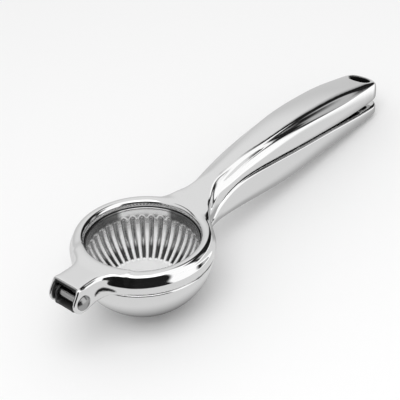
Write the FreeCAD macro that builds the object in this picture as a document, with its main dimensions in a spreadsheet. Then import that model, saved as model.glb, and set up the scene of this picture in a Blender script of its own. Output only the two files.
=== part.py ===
import FreeCAD, Part
import math
import os

import Sketcher
from FreeCAD import Base

Vector = Base.Vector
Rotation = Base.Rotation
Placement = Base.Placement

doc = FreeCAD.newDocument("LemonSqueezer")

# Driving sizes in millimetres, degrees and counts. The bowl's centre is the origin of the closed tool,
# +X runs to the handle's end, -Y is the side of the pin's domed head, and the ring's plane is level.
SIZES = {
    "bowl_radius": 37.0,
    "bowl_wall": 2.5,
    "seam_drop": 4.6,
    "seam_gap": 0.1,
    "lip_edge_height": 4.0,
    "lip_inner_height": 6.0,
    "lip_top": 6.3,
    "crown_place": 0.48,
    "lip_round": 3.0,
    "lip_bore_round": 4.0,
    "lip_land": 1.05,
    "crown_round": 9.0,
    "skirt_round": 4.8,
    "cove_inset": 1.5,
    "cove_height": 3.3,
    "skirt_height": 0.8,
    "skirt_inset": 0.1,
    "cup_radius": 28.4,
    "band_wall": 1.0,
    "cup_wall": 2.2,
    "cup_floor_drop": 23.0,
    "cup_edge_height": 2.4,
    "cup_clearance": 0.05,
    "flange_top_drop": 2.0,
    "flange_width": 1.6,
    "flute_count": 36,
    "flute_radius": 1.45,
    "flute_depth": 1.1,
    "flute_top_angle": 8.5,
    "flute_end_angle": 49.0,
    "drain_count": 8,
    "drain_width": 2.6,
    "drain_inner": 9.5,
    "drain_outer": 18.5,
    "pin_x": -50.3,
    "pin_drop": 2.5,
    "pin_radius": 2.4,
    "pin_seat": 0.02,
    "pin_running": 0.06,
    "head_radius": 3.9,
    "head_height": 1.9,
    "head_rim": 0.4,
    "head_dome": 5.8,
    "spigot_radius": 1.4,
    "spigot_length": 1.2,
    "hinge_width": 18.4,
    "ear_radius": 6.5,
    "ear_wall": 2.0,
    "ear_low_angle": -70.0,
    "ear_high_angle": 150.0,
    "ear_foot_drop": 4.3,
    "plate_top": 6.2,
    "plate_end": -52.6,
    "plate_thickness": 2.8,
    "flare_start": -43.0,
    "flare_end": -31.0,
    "flare_half": 17.0,
    "flare_radius": 13.0,
    "plate_root": -25.5,
    "slot_end": -38.8,
    "cheek_wall": 1.7,
    "cheek_gap": 0.2,
    "cheek_radius": 4.5,
    "cheek_foot": -41.0,
    "tongue_top_drop": 6.0,
    "tongue_thickness": 1.4,
    "tongue_end": -55.4,
    "tongue_root": 0.97,
    "handle_wall": 2.2,
    "hole_x": 187.0,
    "hole_radius": 6.0,
    "end_radius": 10.3,
    "side_bulge": 0.6,
    "slit_overlap": 1.5,
    "crown_share": 0.55,
    "crown_shoulder": 0.72,
    "belly_width": 0.99,
    "belly_depth": 0.4,
    "turn_width": 0.74,
    "turn_depth": 0.79,
    "cavity_start": 52.0,
    "cavity_stop": 176.0,
    "rib_thickness": 1.8,
    "rib_first": 84.0,
    "rib_pitch": 32.0,
    "rib_count": 3,
    "keel_flat": 3.4,
}

# Lines plan of the two handles: a column for each station, from the ring to the handle's end.
STATIONS = {
    "station_x": [29.0, 37.0, 42.5, 48.0, 58.0, 72.0, 90.0, 112.0, 136.0, 160.0, 180.0, 192.0, 200.0],
    "crease_half": [19.0, 12.6, 9.0, 5.9, 4.4, 4.9, 7.0, 8.6, 9.2, 9.3, 9.0, 8.6, 7.6],
    "crease_z": [1.6, 7.2, 9.0, 12.0, 14.8, 17.4, 19.7, 21.6, 21.3, 19.2, 15.8, 12.7, 8.2],
    "crown_rise": [1.6, 1.2, 1.2, 1.0, 0.8, 0.8, 1.0, 1.2, 1.3, 1.3, 1.2, 1.1, 0.8],
    "ledge_half": [20.0, 13.2, 10.6, 8.6, 8.0, 8.3, 9.3, 10.8, 11.6, 11.5, 10.5, 9.4, 8.6],
    "ledge_z": [0.6, 3.2, 5.2, 8.8, 12.8, 16.2, 18.3, 18.7, 17.3, 15.5, 14.0, 11.0, 6.8],
    "scallop_share": [0.16, 0.16, 0.16, 0.16, 0.16, 0.16, 0.16, 0.12, 0.08, 0.07, 0.07, 0.07, 0.07],
    "slit_half": [20.0, 12.6, 10.0, 8.8, 9.0, 9.7, 10.3, 10.7, 10.9, 10.7, 10.3, 10.0, 9.8],
    "slit_z": [-4.5, -4.5, -4.3, -1.0, 5.2, 8.2, 8.0, 6.4, 4.9, 3.4, 2.6, 2.1, 1.8],
    "slit_gap": [0.2, 0.2, 0.3, 0.5, 0.6, 0.6, 0.7, 0.8, 1.0, 1.8, 3.0, 3.5, 3.8],
    "keel_z": [-13.5, -12.6, -12.4, -12.6, -13.1, -14.0, -15.4, -16.0, -14.0, -12.4, -11.2, -10.1, -9.4],
}
STATION_LETTERS = "abcdefghijklmn"


class Size:
    """A value of the sheet, or one worked out from such values, with the expression that gives it."""

    def __init__(self, value, text):
        self.value = float(value)
        self.text = text

    def __add__(self, other):
        other = as_size(other)
        return Size(self.value + other.value, "(%s + %s)" % (self.text, other.text))

    def __sub__(self, other):
        other = as_size(other)
        return Size(self.value - other.value, "(%s - %s)" % (self.text, other.text))

    def __mul__(self, other):
        other = as_size(other)
        return Size(self.value * other.value, "(%s * %s)" % (self.text, other.text))

    def __neg__(self):
        return Size(-self.value, "(0 - %s)" % self.text)


def as_size(number):
    """A plain number as a Size, and a Size as it is."""
    if isinstance(number, Size):
        return number
    return Size(number, "(%r)" % float(number))


def root(number):
    """Square root of a Size."""
    return Size(math.sqrt(number.value), "sqrt(%s)" % number.text)


def cosine(angle):
    """Cosine of a Size in degrees."""
    return Size(math.cos(math.radians(angle.value)), "cos(%s * 1 deg)" % angle.text)


def sine(angle):
    """Sine of a Size in degrees."""
    return Size(math.sin(math.radians(angle.value)), "sin(%s * 1 deg)" % angle.text)


def make_sheet():
    """The spreadsheet of driving sizes, one alias for each value."""
    made = doc.addObject("Spreadsheet::Sheet", "Sizes")
    row = 1
    for name, value in SIZES.items():
        made.set("A%d" % row, name)
        made.set("B%d" % row, str(value))
        made.setAlias("B%d" % row, name)
        row += 1
    for name, values in STATIONS.items():
        made.set("A%d" % row, name)
        for letter, value in zip(STATION_LETTERS, values):
            cell = "%s%d" % (chr(ord(letter.upper()) + 1), row)
            made.set(cell, str(value))
            made.setAlias(cell, "%s_%s" % (name, letter))
        row += 1
    doc.recompute()
    return made


sheet = make_sheet()


def size(name):
    """One driving size of the sheet."""
    return Size(sheet.get(name), "Sizes.%s" % name)


def stations(name):
    """One line of the lines plan, read back from the sheet."""
    return [float(sheet.get("%s_%s" % (name, letter))) for letter, _ in zip(STATION_LETTERS, STATIONS[name])]


def plane(body, role):
    """An origin plane of a body, by its role."""
    return [feature for feature in body.Origin.OriginFeatures if feature.Role == role][0]


def arc_between(start, end, radius):
    """The short arc between two points, anticlockwise. A positive radius bulges to the right of the way."""
    chord = end - start
    right = Vector(chord.y, -chord.x, 0).normalize()
    half = chord.Length / 2
    rise = abs(radius) - math.sqrt(radius * radius - half * half)
    middle = (start + end) * 0.5 + right * math.copysign(rise, radius)
    return Part.Arc(start, middle, end) if radius > 0 else Part.Arc(end, middle, start)


def profile(body, role, name, outline):
    """A closed sketch of lines and arcs. An entry is x, y and the radius of the next arc, or None."""
    sketch = body.newObject("Sketcher::SketchObject", name)
    sketch.AttachmentSupport = [(plane(body, role), "")]
    sketch.MapMode = "FlatFace"
    count = len(outline)
    corners = [Vector(x.value, y.value, 0) for x, y, _ in outline]
    ends = []
    for index, (_, _, radius) in enumerate(outline):
        start, end = corners[index], corners[(index + 1) % count]
        edge = Part.LineSegment(start, end) if radius is None else arc_between(start, end, radius.value)
        sketch.addGeometry(edge, False)
        forward = sketch.Geometry[index].StartPoint.isEqual(start, 1e-6)
        ends.append((1, 2) if forward else (2, 1))
    for index, (x, y, radius) in enumerate(outline):
        after = (index + 1) % count
        sketch.addConstraint(Sketcher.Constraint("Coincident", index, ends[index][1], after, ends[after][0]))
        bind(sketch, Sketcher.Constraint("DistanceX", index, ends[index][0], x.value), "x_%d" % index, x.text)
        bind(sketch, Sketcher.Constraint("DistanceY", index, ends[index][0], y.value), "y_%d" % index, y.text)
        if radius is not None:
            arc = Sketcher.Constraint("Radius", index, abs(radius.value))
            bind(sketch, arc, "r_%d" % index, "abs(%s)" % radius.text)
    return sketch


def bind(sketch, constraint, label, text):
    """Adds a named constraint and ties it to an expression."""
    sketch.renameConstraint(sketch.addConstraint(constraint), label)
    sketch.setExpression("Constraints.%s" % label, text)


def revolved(name, role, axis, outline):
    """A body turned from one profile about the sketch's vertical or horizontal axis."""
    body = doc.addObject("PartDesign::Body", name)
    sketch = profile(body, role, name + "_section", outline)
    doc.recompute()
    turned = body.newObject("PartDesign::Revolution", name + "_turned")
    turned.Profile = sketch
    turned.ReferenceAxis = (sketch, [axis])
    turned.Angle = 360
    doc.recompute()
    return body


def padded(name, role, length, outline):
    """A body padded from one profile, half of length to each side of its plane."""
    body = doc.addObject("PartDesign::Body", name)
    sketch = profile(body, role, name + "_outline", outline)
    doc.recompute()
    pad = body.newObject("PartDesign::Pad", name + "_pad")
    pad.Profile = sketch
    pad.Midplane = True
    pad.Length = length.value
    pad.setExpression("Length", length.text)
    doc.recompute()
    return body


def primitive(kind, name, place, turn=None, **bound):
    """A Part primitive with its sizes and its place bound to the sheet."""
    made = doc.addObject("Part::" + kind, name)
    for prop, value in bound.items():
        value = as_size(value)
        setattr(made, prop, value.value)
        made.setExpression(prop, value.text)
    x, y, z = [as_size(value) for value in place]
    made.Placement = Placement(Vector(x.value, y.value, z.value), turn or Rotation())
    for axis, value in (("x", x), ("y", y), ("z", z)):
        made.setExpression("Placement.Base.%s" % axis, value.text)
    return made


def freeform(name, shape):
    """A solid that no sketch or primitive gives, worked out from the sheet's values."""
    made = doc.addObject("Part::Feature", name)
    made.Shape = shape
    return made


def joined(name, *parts):
    """The union of several objects."""
    made = doc.addObject("Part::MultiFuse", name)
    made.Shapes = list(parts)
    made.Refine = True
    doc.recompute()
    return made


def cut(name, base, tool):
    """One object less another."""
    made = doc.addObject("Part::Cut", name)
    made.Base = base
    made.Tool = tool
    made.Refine = True
    doc.recompute()
    return made


def common(name, first, second):
    """What two objects share."""
    made = doc.addObject("Part::Common", name)
    made.Base = first
    made.Tool = second
    made.Refine = True
    doc.recompute()
    return made


SIDEWAYS = Rotation(Vector(1, 0, 0), 90)
LARGE = 400.0
OVERSHOOT = 1.5

bowl = size("bowl_radius")
bowl_inside = bowl - size("bowl_wall")
rim_drop = size("seam_drop") + size("seam_gap")
skirt_drop = size("seam_drop") - size("seam_gap")
cup_inside = size("cup_radius")
cup_outside = cup_inside + size("cup_wall")
band = cup_inside + size("band_wall")
flange = band + size("flange_width")
pin_radius = size("pin_radius")
half_hinge = size("hinge_width") * 0.5


def across_hinge(name, radius, reach):
    """A round bar along the hinge line, reach to each side of the middle."""
    place = (size("pin_x"), reach, -size("pin_drop"))
    return primitive("Cylinder", name, place, SIDEWAYS, Radius=radius, Height=reach * 2)


def make_press_cup():
    """The fluted cup: a plain band with a flange below it, a round wall and a flat floor."""
    floor_drop = size("cup_floor_drop")
    flange_top = size("flange_top_drop") + size("cup_clearance")
    under = floor_drop + size("cup_wall")
    shell = revolved("cup_shell", "XZ_Plane", "V_Axis", [
        (as_size(0), -floor_drop, None),
        (root(cup_inside * cup_inside - floor_drop * floor_drop), -floor_drop, cup_inside),
        (cup_inside, as_size(0), None),
        (cup_inside, size("cup_edge_height"), None),
        (band, size("cup_edge_height"), None),
        (band, -flange_top, None),
        (flange, -flange_top, None),
        (flange, -skirt_drop, None),
        (root(cup_outside * cup_outside - skirt_drop * skirt_drop), -skirt_drop, -cup_outside),
        (root(cup_outside * cup_outside - under * under), -under, None),
        (as_size(0), -under, None),
    ])
    return cut("press_cup", shell, freeform("flutes", flute_cutters()))


def flute_cutters():
    """Round-ended flutes that follow the cup's wall, one below each other round the axis."""
    radius = size("flute_radius").value
    track = cup_inside.value + size("flute_depth").value - radius
    first, last = size("flute_top_angle").value, size("flute_end_angle").value
    section = Part.Face(Part.Wire([Part.makeCircle(radius, Vector(track, 0, 0), Vector(0, 0, 1))]))
    section.rotate(Vector(), Vector(0, 1, 0), first)
    run = section.revolve(Vector(), Vector(0, 1, 0), last - first)
    ends = []
    for angle in (first, last):
        centre = Vector(track * math.cos(math.radians(angle)), 0, -track * math.sin(math.radians(angle)))
        ends.append(Part.makeSphere(radius, centre))
    flute = run.fuse(ends).removeSplitter()
    count = int(size("flute_count").value)
    flutes = []
    for index in range(count):
        turned = flute.copy()
        turned.rotate(Vector(), Vector(0, 0, 1), 360.0 * (index + 0.5) / count)
        flutes.append(turned)
    return Part.makeCompound(flutes)


def make_ring():
    """The upper lever's ring: rounded lip, shallow cove, skirt, and the bore that holds the cup."""
    bore = band + size("cup_clearance")
    recess = flange + size("cup_clearance")
    inner = bore + size("lip_land")
    cove = bowl - size("cove_inset")
    crown = inner + (cove - inner) * size("crown_place")
    return revolved("ring", "XZ_Plane", "V_Axis", [
        (bore, -size("flange_top_drop"), None),
        (recess, -size("flange_top_drop"), None),
        (recess, -skirt_drop, None),
        (root(bowl * bowl - skirt_drop * skirt_drop), -skirt_drop, bowl),
        (bowl - size("skirt_inset"), size("skirt_height"), -size("skirt_round")),
        (cove, size("cove_height"), size("lip_round")),
        (crown, size("lip_top"), size("crown_round")),
        (inner, size("lip_inner_height"), size("lip_bore_round")),
        (bore, size("lip_edge_height"), None),
    ])


def seam_room(name, bottom, top):
    """The space a little wider than the bowl between two heights, where a lever must keep clear."""
    radius = bowl + size("cheek_gap")
    return primitive("Cylinder", name, (0, 0, bottom), None, Radius=radius, Height=top - bottom)


def make_hinge_plate():
    """The plate from ring to hinge with its two ears, flared into the ring."""
    foot = size("plate_root")
    x, drop, ear = size("pin_x"), size("pin_drop"), size("ear_radius")
    low, high = size("ear_low_angle"), size("ear_high_angle")
    top = size("plate_top")
    side = padded("plate_side", "XZ_Plane", size("bowl_radius") * 2, [
        (size("plate_end"), top, None),
        (foot, top, None),
        (foot, -size("ear_foot_drop"), None),
        (x + ear * cosine(low), ear * sine(low) - drop, -ear),
        (x + ear * cosine(high), ear * sine(high) - drop, None),
    ])
    far = x - ear * 2
    start, end = size("flare_start"), size("flare_end")
    reach, flare = size("flare_half"), size("flare_radius")
    plan = padded("plate_plan", "XY_Plane", size("bowl_radius") * 2, [
        (far, -half_hinge, None),
        (start, -half_hinge, -flare),
        (end, -reach, None),
        (foot, -reach, None),
        (foot, reach, None),
        (end, reach, -flare),
        (start, half_hinge, None),
        (far, half_hinge, None),
    ])
    blank = common("plate_blank", side, plan)
    inner = half_hinge - size("ear_wall")
    under = top - size("plate_thickness")
    depth = size("bowl_radius")
    gap = primitive("Box", "ear_gap", (far, -inner, under - depth), None,
                    Length=size("slot_end") - far, Width=inner * 2, Height=depth)
    mouth = primitive("Box", "ear_mouth", (far, -inner, under - depth), None,
                      Length=size("plate_end") - far, Width=inner * 2, Height=depth * 2)
    room = size("cheek_gap")
    tongue_room = primitive("Box", "tongue_room", (far, -inner, -depth), None,
                            Length=foot - far, Width=inner * 2, Height=depth - size("tongue_top_drop") + room)
    bowl_room = seam_room("bowl_room", -depth, -skirt_drop)
    return cut("hinge_plate", blank, joined("hinge_rooms", gap, mouth, tongue_room, bowl_room))


def curve_through(points):
    """An edge through two or more points of one cross section."""
    curve = Part.BSplineCurve()
    curve.interpolate(points)
    return curve.toShape()


def across(x, points):
    """The points of one side of a cross section at x, each given as y and z, as an edge."""
    return curve_through([Vector(x, y, z) for y, z in points])


def mirrored(points):
    """The same points on the other side, in the opposite order."""
    return [(-y, z) for y, z in reversed(points)]


def guide(name):
    """A smooth curve through one line of the plan, as a function of x."""
    places = stations("station_x")
    curve = Part.BSplineCurve()
    curve.interpolate(Points=[Vector(x, 0, z) for x, z in zip(places, stations(name))], Parameters=places)
    return lambda x: curve.value(x).z


GUIDES = {name: guide(name) for name in STATIONS if name != "station_x"}


def plan_point(name, x):
    """Half width and height of one line of the plan at x."""
    return GUIDES[name + "_half"](x), GUIDES[name + "_z"](x)


def upper_outside(x):
    """Upper handle at x: convex side up to the ledge, concave scallop to the crease, crowned top."""
    slit, ledge, crease = [plan_point(name, x) for name in ("slit", "ledge", "crease")]
    low = (slit[0], slit[1] - size("slit_overlap").value)
    middle = ((slit[0] + ledge[0]) / 2 + size("side_bulge").value, (slit[1] + ledge[1]) / 2)
    run, rise = crease[0] - ledge[0], crease[1] - ledge[1]
    hollow = GUIDES["scallop_share"](x)
    bottom = ((ledge[0] + crease[0]) / 2 - rise * hollow, (ledge[1] + crease[1]) / 2 + run * hollow)
    lift = GUIDES["crown_rise"](x)
    shoulder = (crease[0] * size("crown_share").value, crease[1] + lift * size("crown_shoulder").value)
    return [low, slit, middle, ledge], [ledge, bottom, crease], [crease, shoulder, (0.0, crease[1] + lift)]


def upper_section(x):
    """A closed outer section of the upper handle."""
    side, scallop, crown = upper_outside(x)
    right = [side, scallop]
    left = [mirrored(scallop), mirrored(side)]
    flat = [(-side[0][0], side[0][1]), side[0]]
    return Part.Wire([across(x, part) for part in right + [crown + mirrored(crown)[1:]] + left + [flat]])


def past_slit(drops, reach):
    """Everything within reach of the slit line, on one side of it, for trimming a handle there."""
    places = stations("station_x")
    points = [Vector(x, 0, z - drop) for x, z, drop in zip(places, stations("slit_z"), drops)]
    line = Part.BSplineCurve()
    line.interpolate(Points=points, Parameters=places)
    far = [points[-1], points[-1] + Vector(0, 0, reach), points[0] + Vector(0, 0, reach), points[0]]
    face = Part.Face(Part.Wire([line.toShape()] + Part.makePolygon(far).Edges))
    face.translate(Vector(0, -LARGE / 2, 0))
    return face.extrude(Vector(0, LARGE, 0))


def upper_handle_solid():
    """The outer form of the upper handle, lofted through the stations and trimmed at the slit."""
    loft = Part.makeLoft([upper_section(x) for x in stations("station_x")], True, False)
    return loft.cut(past_slit([0.0] * len(STATIONS["slit_z"]), -LARGE))


def lower_outside(x):
    """Lower handle at x: one side curve from the rim down to the flat keel."""
    half, rim, keel = GUIDES["slit_half"](x), GUIDES["slit_z"](x) - GUIDES["slit_gap"](x), GUIDES["keel_z"](x)
    flat, depth = size("keel_flat").value, rim - keel
    side = [(flat, keel)]
    for name in ("turn", "belly"):
        out, down = size(name + "_width").value, size(name + "_depth").value
        side.append((flat + (half - flat) * out, rim - depth * down))
    return side + [(half, rim), (half, rim + size("slit_overlap").value)]


def lower_section(x):
    """A closed outer section of the lower handle."""
    right = lower_outside(x)
    left = mirrored(right)
    return Part.Wire([across(x, part) for part in (right, [right[-1], left[0]], left, [left[-1], right[0]])])


def lower_handle_solid():
    """The outer form of the lower handle, lofted through the stations and trimmed at the slit."""
    loft = Part.makeLoft([lower_section(x) for x in stations("station_x")], True, False)
    return loft.cut(past_slit(stations("slit_gap"), LARGE))


def cavity_stations():
    """Stations of the handles' hollows."""
    first, last = size("cavity_start").value, size("cavity_stop").value
    inner = [x for x in stations("station_x") if first < x < last]
    return [first] + inner + [last]


def less_ribs(hollow):
    """A hollow with its cross ribs left standing."""
    thick = size("rib_thickness").value
    tools = []
    for index in range(int(size("rib_count").value)):
        x = size("rib_first").value + index * size("rib_pitch").value
        tools.append(Part.makeBox(thick, LARGE, LARGE, Vector(x - thick / 2, -LARGE / 2, -LARGE / 2)))
    return hollow.cut(tools)


def upper_hollow():
    """The channel inside the upper handle, open at the slit."""
    wall = size("handle_wall").value
    wires = []
    for x in cavity_stations():
        slit, ledge, crease = [plan_point(name, x) for name in ("slit", "ledge", "crease")]
        top = max(crease[0] - wall, wall)
        outline = [(slit[0] - wall, slit[1] - wall), (slit[0] - wall, slit[1] + wall),
                   (ledge[0] - wall, ledge[1] - wall), (top, crease[1] - wall)]
        points = [Vector(x, y, z) for y, z in outline] + [Vector(x, -y, z) for y, z in reversed(outline)]
        wires.append(Part.makePolygon(points + points[:1]))
    return less_ribs(Part.makeLoft(wires, True, True))


def lower_hollow():
    """The channel inside the lower handle, open at the slit."""
    wall = size("handle_wall").value
    corner = wall * math.sqrt(0.5)
    wires = []
    for x in cavity_stations():
        curve = lower_outside(x)
        outline = [(curve[0][0], curve[0][1] + wall), (curve[1][0] - corner, curve[1][1] + corner),
                   (curve[2][0] - wall, curve[2][1]), (curve[3][0] - wall, curve[3][1] + wall)]
        points = [Vector(x, y, z) for y, z in outline] + [Vector(x, -y, z) for y, z in reversed(outline)]
        wires.append(Part.makePolygon(points + points[:1]))
    return less_ribs(Part.makeLoft(wires, True, True))


def handle_plan(name):
    """The handles' outline from above: straight sides and a round end about the hanging hole."""
    reach = size("end_radius")
    straight = primitive("Box", name + "_straight", (0, -bowl, -bowl * 2), None,
                         Length=size("hole_x"), Width=bowl * 2, Height=bowl * 4)
    rounded = primitive("Cylinder", name + "_round", (size("hole_x"), 0, -bowl * 2), None,
                        Radius=reach, Height=bowl * 4)
    return joined(name, straight, rounded)


def make_upper_lever():
    """Ring, hinge plate and hollow handle as one casting."""
    recess = flange + size("cup_clearance")
    core = primitive("Cylinder", "ring_core", (0, 0, -bowl), None, Radius=recess, Height=bowl * 2)
    plate = cut("plate_outside_core", make_hinge_plate(), core)
    outside = freeform("upper_handle", upper_handle_solid())
    trimmed = common("upper_handle_trimmed", outside, handle_plan("upper_plan"))
    under_ring = seam_room("under_ring", -bowl, -skirt_drop)
    grip = cut("upper_handle_outside_core", trimmed, joined("upper_rooms", core, under_ring))
    casting = joined("upper_casting", make_ring(), plate, grip)
    hollow = freeform("upper_hollow", upper_hollow())
    hole = primitive("Cylinder", "hanging_hole", (size("hole_x"), 0, -bowl), None,
                     Radius=size("hole_radius"), Height=bowl * 2)
    seat = across_hinge("ear_bore", pin_radius + size("pin_seat"), half_hinge * OVERSHOOT)
    return cut("upper_lever", casting, joined("upper_cuts", hollow, hole, seat))


def make_tongue():
    """The lower lever's hinge tongue: a plate under the pin and two cheeks between the ears."""
    outer = half_hinge - size("ear_wall") - size("cheek_gap")
    inner = outer - size("cheek_wall")
    x, drop, radius = size("pin_x"), size("pin_drop"), size("cheek_radius")
    top, base = size("tongue_top_drop"), size("tongue_top_drop") + size("tongue_thickness")
    end, foot = size("tongue_end"), -bowl_inside * size("tongue_root")
    plate = primitive("Box", "tongue_plate", (end, -outer, -base), None,
                      Length=foot - end, Width=outer * 2, Height=base - top)
    side = padded("cheek_side", "XZ_Plane", outer * 2, [
        (x - radius, -drop, -radius),
        (x, radius - drop, -radius),
        (x + radius, -drop, None),
        (size("cheek_foot"), -base, None),
        (x - radius, -base, None),
    ])
    gap = primitive("Box", "cheek_gap_block", (x - radius * 2, -inner, -top), None,
                    Length=radius * 4, Width=inner * 2, Height=top * 2)
    return joined("tongue", plate, cut("cheeks", side, gap))


def make_bowl():
    """The outside of the bowl, a ball cut off level at the seam."""
    ball = primitive("Sphere", "bowl_ball", (0, 0, 0), None, Radius=bowl)
    above = primitive("Box", "above_seam", (-bowl * OVERSHOOT, -bowl * OVERSHOOT, -rim_drop), None,
                      Length=bowl * 2 * OVERSHOOT, Width=bowl * 2 * OVERSHOOT, Height=bowl * 2)
    return cut("bowl_outside", ball, above)


def drain_cutters():
    """Radial slots with round ends through the bottom of the bowl."""
    width, count = size("drain_width").value, int(size("drain_count").value)
    inner, outer = size("drain_inner").value + width / 2, size("drain_outer").value - width / 2
    deep = Vector(0, 0, -bowl.value * OVERSHOOT)
    tall = bowl.value
    slot = Part.makeBox(outer - inner, width, tall, deep + Vector(inner, -width / 2, 0))
    rounds = [Part.makeCylinder(width / 2, tall, deep + Vector(x, 0, 0)) for x in (inner, outer)]
    slot = slot.fuse(rounds).removeSplitter()
    slots = []
    for index in range(count):
        turned = slot.copy()
        turned.rotate(Vector(), Vector(0, 0, 1), 360.0 * (index + 0.5) / count)
        slots.append(turned)
    return Part.makeCompound(slots)


def make_lower_lever():
    """Bowl, tongue and hollow handle as one casting."""
    outside = freeform("lower_handle", lower_handle_solid())
    trimmed = common("lower_handle_trimmed", outside, handle_plan("lower_plan"))
    grip = cut("lower_handle_below_seam", trimmed, seam_room("over_bowl", -rim_drop, bowl))
    casting = joined("lower_casting", make_bowl(), make_tongue(), grip)
    inside = primitive("Sphere", "bowl_inside", (0, 0, 0), None, Radius=bowl_inside)
    hollow = freeform("lower_hollow", lower_hollow())
    bore = across_hinge("cheek_bore", pin_radius + size("pin_running"), half_hinge)
    slots = freeform("drain_slots", drain_cutters())
    return cut("lower_lever", casting, joined("lower_cuts", inside, hollow, bore, slots))


def make_pin():
    """The rivet pin: domed head, shank and a spigot for the cap."""
    head, tall, rim = size("head_radius"), size("head_height"), size("head_rim")
    spigot = size("spigot_radius")
    tip = half_hinge + size("spigot_length")
    return revolved("hinge_pin", "XY_Plane", "V_Axis", [
        (as_size(0), -half_hinge - tall, size("head_dome")),
        (head, -half_hinge - rim, None),
        (head, -half_hinge, None),
        (pin_radius, -half_hinge, None),
        (pin_radius, half_hinge, None),
        (spigot, half_hinge, None),
        (spigot, tip, None),
        (as_size(0), tip, None),
    ])


def make_cap():
    """The domed cap pressed on the pin's spigot."""
    tall, dome = size("head_height"), size("head_dome")
    bottom = size("spigot_length") + size("pin_seat")
    disc = primitive("Cylinder", "cap_disc", (0, half_hinge + tall, 0), SIDEWAYS,
                     Radius=size("head_radius"), Height=tall)
    ball = primitive("Sphere", "cap_ball", (0, half_hinge + tall - dome, 0), None, Radius=dome)
    bore = primitive("Cylinder", "cap_bore", (0, half_hinge + bottom, 0), SIDEWAYS,
                     Radius=size("spigot_radius") + size("pin_seat"), Height=bottom * OVERSHOOT)
    return cut("pin_cap", common("cap_blank", disc, ball), bore)


def resting_place(levers):
    """Tips the closed tool until the bowl and the lower handle's end both touch the ground."""
    foot_x = size("hole_x").value + size("end_radius").value
    foot_drop = -GUIDES["keel_z"](foot_x)
    reach = math.hypot(foot_x, foot_drop)
    tip = math.degrees(math.asin(bowl.value / reach) - math.asin(foot_drop / reach))
    tipped = Placement(Vector(), Rotation(Vector(0, 1, 0), tip))
    box = Base.BoundBox()
    for lever in levers:
        shape = lever.Shape.copy()
        shape.Placement = tipped
        box.add(shape.optimalBoundingBox(False, False))
    return Placement(Vector(-box.Center.x, -box.Center.y, -box.ZMin), tipped.Rotation)


upper = make_upper_lever()
lower = make_lower_lever()
cup = make_press_cup()
pin = make_pin()
cap = make_cap()
rest = resting_place([upper, lower])
hinge_line = Placement(Vector(size("pin_x").value, 0, -size("pin_drop").value), Rotation())
for part in (upper, lower, cup):
    part.Placement = rest
for part in (pin, cap):
    part.Placement = rest.multiply(hinge_line)
doc.recompute()

subparts = {"upper_lever": upper, "lower_lever": lower, "press_cup": cup, "hinge_pin": pin, "pin_cap": cap}
for feature in doc.Objects:
    if "Invalid" in feature.State or "Error" in feature.State:
        raise RuntimeError("%s did not compute" % feature.Name)
os.makedirs("parts", exist_ok=True)
for label, part in subparts.items():
    part.Label = label
    shape = part.Shape
    if shape.isNull() or not shape.isValid():
        raise RuntimeError("%s has no valid shape" % label)
    shape.exportStep("parts/%s.step" % label)
    print(label, len(shape.Solids), "solid", round(shape.Volume, 1), "mm3")
print("rest", rest)
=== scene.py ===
import math

import bpy
import numpy as np
from mathutils import Matrix, Vector


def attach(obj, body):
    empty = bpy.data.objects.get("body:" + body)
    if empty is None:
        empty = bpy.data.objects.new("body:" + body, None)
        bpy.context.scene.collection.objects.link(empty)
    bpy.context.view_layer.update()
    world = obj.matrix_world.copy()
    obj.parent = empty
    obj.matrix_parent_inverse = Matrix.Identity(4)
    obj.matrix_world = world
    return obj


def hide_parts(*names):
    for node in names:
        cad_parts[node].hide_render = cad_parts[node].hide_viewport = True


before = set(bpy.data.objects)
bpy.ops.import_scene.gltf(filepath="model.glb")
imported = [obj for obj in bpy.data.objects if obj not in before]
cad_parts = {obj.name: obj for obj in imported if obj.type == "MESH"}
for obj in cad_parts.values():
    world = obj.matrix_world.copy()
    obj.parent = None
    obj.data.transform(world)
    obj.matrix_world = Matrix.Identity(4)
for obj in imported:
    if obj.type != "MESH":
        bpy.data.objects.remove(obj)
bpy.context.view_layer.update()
print("frame loaded:", len(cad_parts), "nodes")

# The closed tool's own frame is in millimetres: the bowl's centre is the origin, +X runs to the handle's
# end, -Y is the side of the rivet's domed head, and the ring lies level. rest tips it onto the ground.
rest = {"tilt": 8.00287, "x": -70.136, "y": 0.0, "z": 37.0088}
toRow = Matrix.Translation(Vector((rest["x"], rest["y"], rest["z"])) / 1000)
toRow = toRow @ Matrix.Rotation(math.radians(rest["tilt"]), 4, "Y") @ Matrix.Scale(0.001, 4)

grid = {
    "lever": 0.6, "cup": 0.42, "leverBlur": 2, "cupBlur": 1, "settle": 3, "leastSlope": 0.05, "mostSettle": 0.3,
    "far": 9.0, "softEdge": 0.5,
}
boxes = {  # lowest and highest corner of each piece's grid
    "upper": ((-58.6, -38.4, -11.0), (199.2, 38.4, 24.8)),
    "lower": ((-57.4, -38.4, -38.4), (199.2, 38.4, 10.0)),
    "cup": ((-31.8, -31.8, -26.1), (31.8, 31.8, 3.3)),
}


# distance fields on a grid of points, and the smooth closed mesh round where they are zero

class Block:
    def __init__(self, low, high, step):
        self.low, self.step = np.array(low, float), step
        self.axes = [np.arange(a, b + step, step) for a, b in zip(low, high)]
        self.x, self.y, self.z = np.ix_(*self.axes)
        self.shape = tuple(len(axis) for axis in self.axes)

    def sample(self, field, points):
        place = (points - self.low) / self.step
        cell = np.clip(place.astype(int), 0, np.array(self.shape) - 2)
        part = place - cell
        total = 0.0
        for corner in np.ndindex(2, 2, 2):
            weight = np.prod(np.where(corner, part, 1 - part), axis=1)
            total = total + weight * field[tuple((cell + corner).T)]
        return total

    def slope(self, field, points):
        across = np.eye(3) * self.step
        parts = [self.sample(field, points + move) - self.sample(field, points - move) for move in across]
        return np.stack(parts, axis=1) / (2 * self.step)


def smoothMin(a, b, reach):
    share = np.clip(0.5 + 0.5 * (b - a) / reach, 0, 1)
    return b + (a - b) * share - reach * share * (1 - share)


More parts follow.
